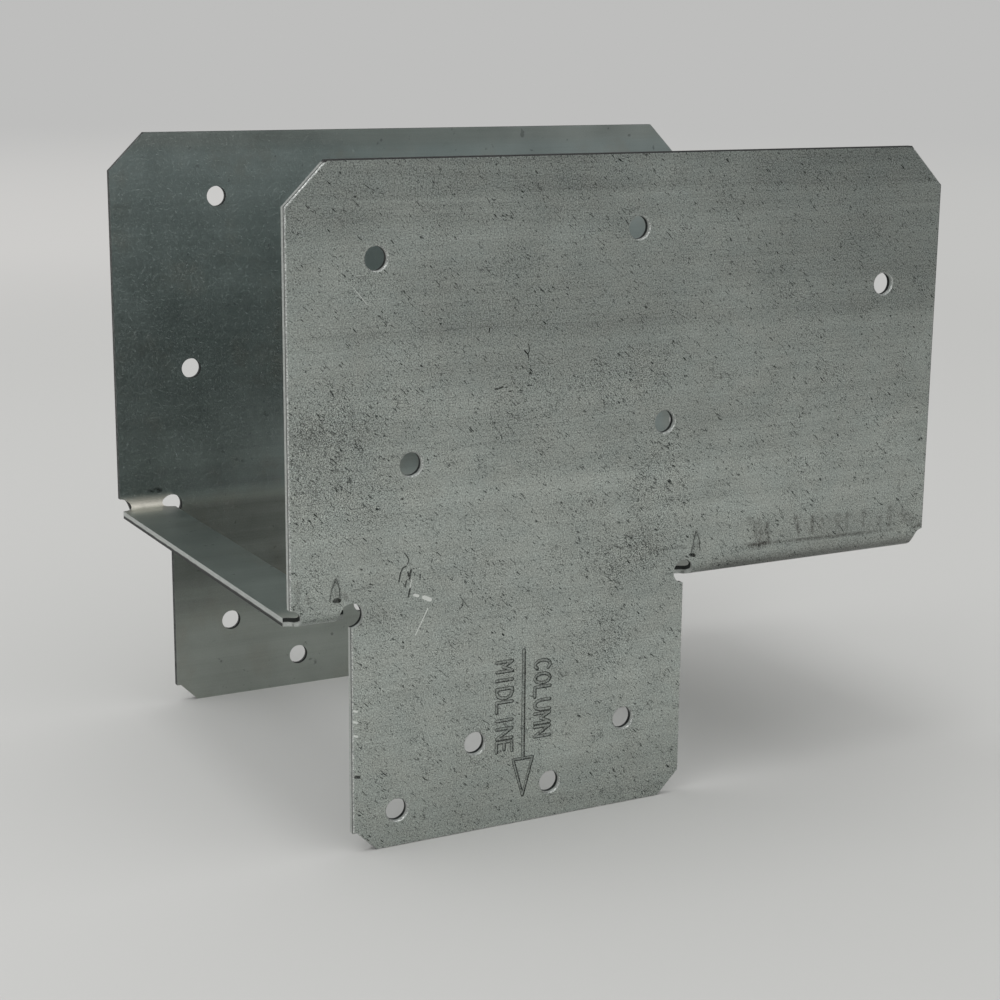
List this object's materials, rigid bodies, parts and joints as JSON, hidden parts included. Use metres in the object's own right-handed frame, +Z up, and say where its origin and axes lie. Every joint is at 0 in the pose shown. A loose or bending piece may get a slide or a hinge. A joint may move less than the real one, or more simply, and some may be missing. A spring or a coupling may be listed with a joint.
{
  "type": "column end cap",
  "caption": "Folded galvanised sheet cap that seats the end of a timber beam on a square post, with nailing tabs down two sides of the post.",
  "frame": {"origin": "on the post's axis, at the seat's underside, where the top of the post bears", "axes": "+X along the beam towards the long end, +Y across the beam towards the far side plate, +Z up"},
  "size_m": [0.1333, 0.0936, 0.1194],
  "materials": {
    "galvanised_sheet": "hot-dip galvanised, satin"
  },
  "bodies": {
    "root": {"post_cap": "galvanised_sheet"}
  },
  "joints": []
}
